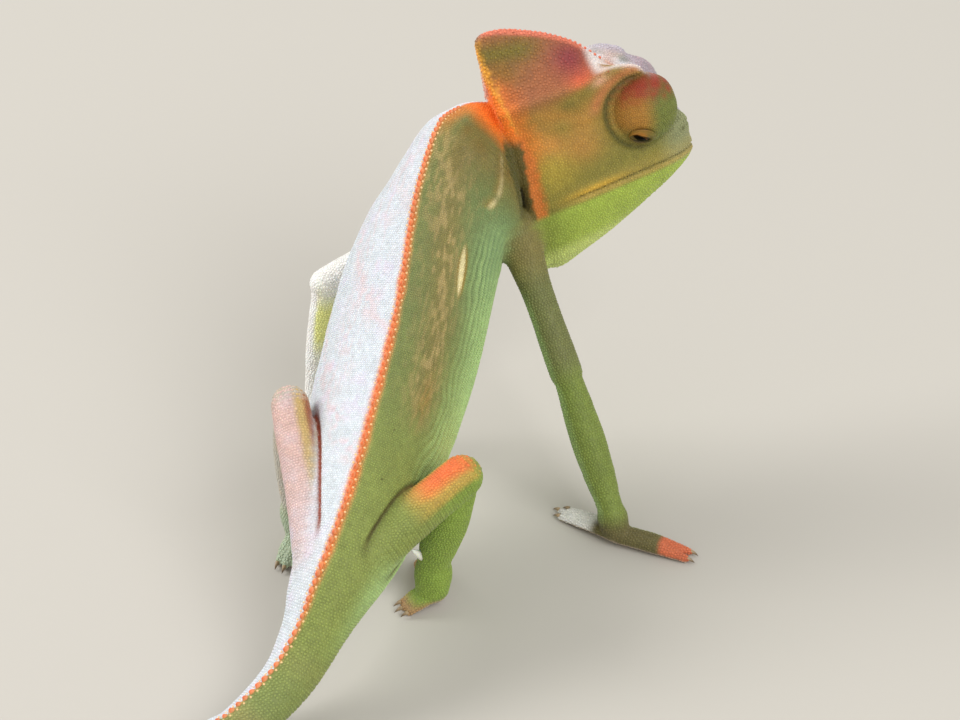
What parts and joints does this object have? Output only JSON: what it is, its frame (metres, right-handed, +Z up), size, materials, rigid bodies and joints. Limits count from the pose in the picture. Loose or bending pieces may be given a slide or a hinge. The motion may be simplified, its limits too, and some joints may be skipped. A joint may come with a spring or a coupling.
{
  "type": "chameleon",
  "caption": "Young male veiled chameleon as a still life-size model, standing with raised chest, head turned to its right, tail curled on the floor.",
  "frame": {"origin": "middle of the underside of the whole animal, at floor level", "axes": "+Z up; +Y the way the hips face, towards the chest; +X to the animal's right, the way the head looks"},
  "size_m": [0.107, 0.1178, 0.0727],
  "materials": {
    "skin": "dry granular scales, satin",
    "eye": "wet gloss",
    "claw": "horn, satin",
    "spur": "pale horn, satin"
  },
  "bodies": {
    "root": {"casque": "skin", "head": "skin", "lower_jaw": "skin", "eye_turret_right": "skin", "eye_turret_left": "skin", "eye_right": "eye", "eye_left": "eye", "neck": "skin", "trunk_front": "skin", "trunk_mid": "skin", "trunk_rear": "skin", "tail_1": "skin", "tail_2": "skin", "tail_3": "skin", "tail_4": "skin", "tail_5": "skin", "tail_6": "skin", "fore_right_upper": "skin", "fore_right_lower": "skin", "fore_right_palm": "skin", "fore_right_toes_outer": "skin", "fore_right_toes_inner": "skin", "fore_left_upper": "skin", "fore_left_lower": "skin", "fore_left_palm": "skin", "fore_left_toes_outer": "skin", "fore_left_toes_inner": "skin", "hind_right_upper": "skin", "hind_right_lower": "skin", "hind_right_palm": "skin", "hind_right_toes_outer": "skin", "hind_right_toes_inner": "skin", "hind_left_upper": "skin", "hind_left_lower": "skin", "hind_left_palm": "skin", "hind_left_toes_outer": "skin", "hind_left_toes_inner": "skin"}
  },
  "joints": []
}
